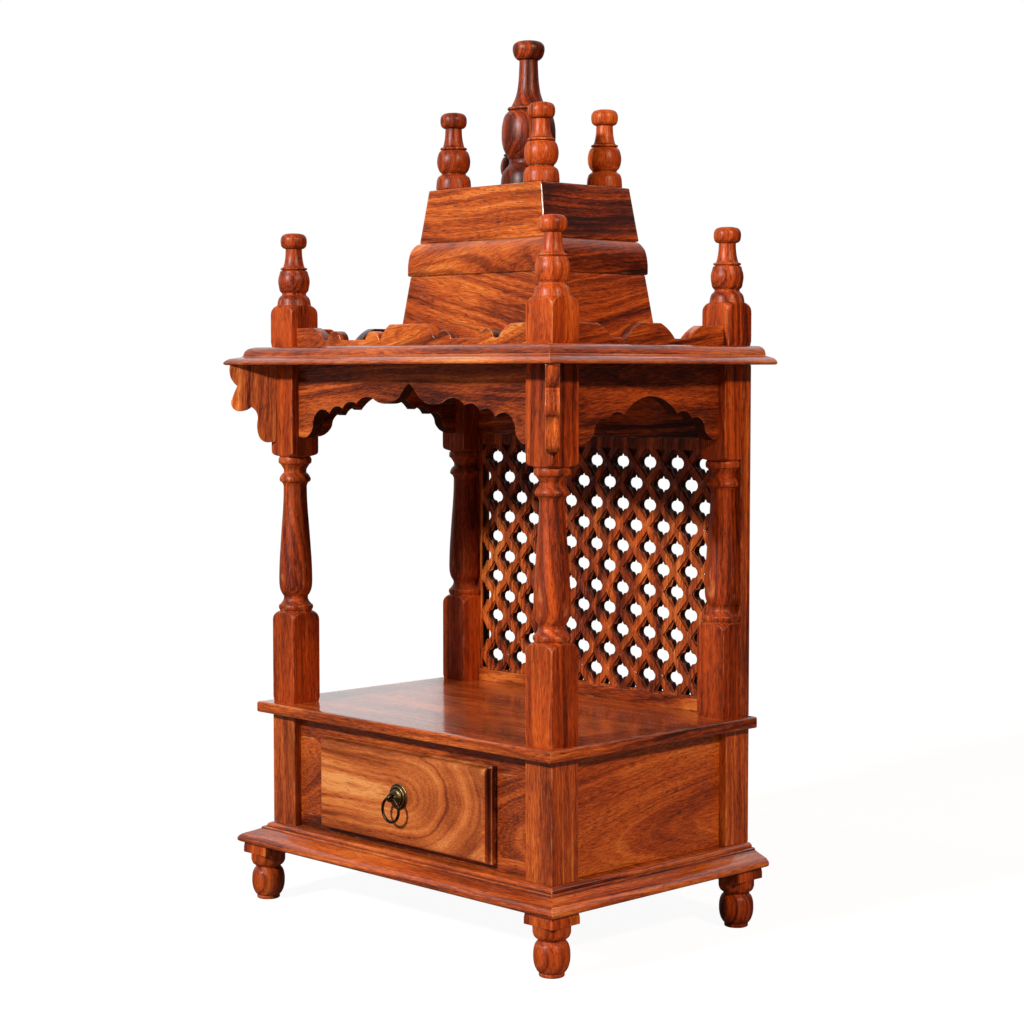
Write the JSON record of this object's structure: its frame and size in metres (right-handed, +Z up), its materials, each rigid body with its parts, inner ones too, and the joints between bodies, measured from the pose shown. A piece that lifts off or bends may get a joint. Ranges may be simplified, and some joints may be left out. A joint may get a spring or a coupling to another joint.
{
  "type": "pooja mandir",
  "caption": "Wooden household shrine: turned pillars, fretted aprons and a pierced back under a moulded roof with a tower and finials, and a drawer with a ring pull below the shelf.",
  "frame": {"origin": "on the floor, under the middle of the object's box", "axes": "+X to the right seen from the front, +Y to the back, +Z up"},
  "size_m": [0.495, 0.327, 0.9145],
  "materials": {
    "board_wood": "stained hardwood boards, satin lacquer",
    "turned_wood": "stained hardwood turned on a lathe, satin lacquer",
    "fretted_wood": "stained hardwood cut with a fret saw, satin lacquer",
    "drawer_face_wood": "lighter figured hardwood, satin lacquer",
    "drawer_box_wood": "plain planed wood, unstained",
    "antique_brass": "dark antique patina, worn bright on the knob"
  },
  "bodies": {
    "cabinet": {"apron_front": "fretted_wood", "apron_left": "fretted_wood", "apron_right": "fretted_wood", "back_lattice": "fretted_wood", "back_rail_low": "board_wood", "back_rail_top": "board_wood", "back_stile_left": "board_wood", "back_stile_right": "board_wood", "base_back": "board_wood", "base_post_back_left": "board_wood", "base_post_back_right": "board_wood", "base_post_front_left": "board_wood", "base_post_front_right": "board_wood", "base_side_left": "board_wood", "base_side_right": "board_wood", "bracket_left": "fretted_wood", "bracket_right": "fretted_wood", "crest_front": "fretted_wood", "crest_left": "fretted_wood", "crest_right": "fretted_wood", "drawer_runner_left": "drawer_box_wood", "drawer_runner_right": "drawer_box_wood", "foot_back_left": "turned_wood", "foot_back_right": "turned_wood", "foot_front_left": "turned_wood", "foot_front_right": "turned_wood", "front_rail_low": "board_wood", "front_rail_top": "board_wood", "front_stile_left": "board_wood", "front_stile_right": "board_wood", "pillar_back_left": "turned_wood", "pillar_back_right": "turned_wood", "pillar_front_left": "turned_wood", "pillar_front_right": "turned_wood", "plinth": "board_wood", "roof_low": "board_wood", "roof_post_back_left": "turned_wood", "roof_post_back_right": "turned_wood", "roof_post_front_left": "turned_wood", "roof_post_front_right": "turned_wood", "roof_top": "board_wood", "shelf": "board_wood", "spire": "turned_wood", "tower_band": "board_wood", "tower_low": "board_wood", "tower_post_back_left": "turned_wood", "tower_post_back_right": "turned_wood", "tower_post_front_left": "turned_wood", "tower_post_front_right": "turned_wood", "tower_top": "board_wood"},
    "drawer": {"drawer_back": "drawer_box_wood", "drawer_bottom": "drawer_box_wood", "drawer_front": "drawer_face_wood", "drawer_side_left": "drawer_box_wood", "drawer_side_right": "drawer_box_wood", "pull_rosette": "antique_brass"},
    "ring": {"pull_ring": "antique_brass"}
  },
  "joints": [
    {"name": "drawer_slide", "type": "slide", "parent": "cabinet", "child": "drawer", "axis": [0, -1, 0], "range_m": [0, 0.17]},
    {"name": "ring_swing", "type": "hinge", "parent": "drawer", "child": "ring", "pos_m": [0, -0.14245, 0.1405], "axis": [-1, 0, 0], "range_deg": [0, 170]}
  ]
}
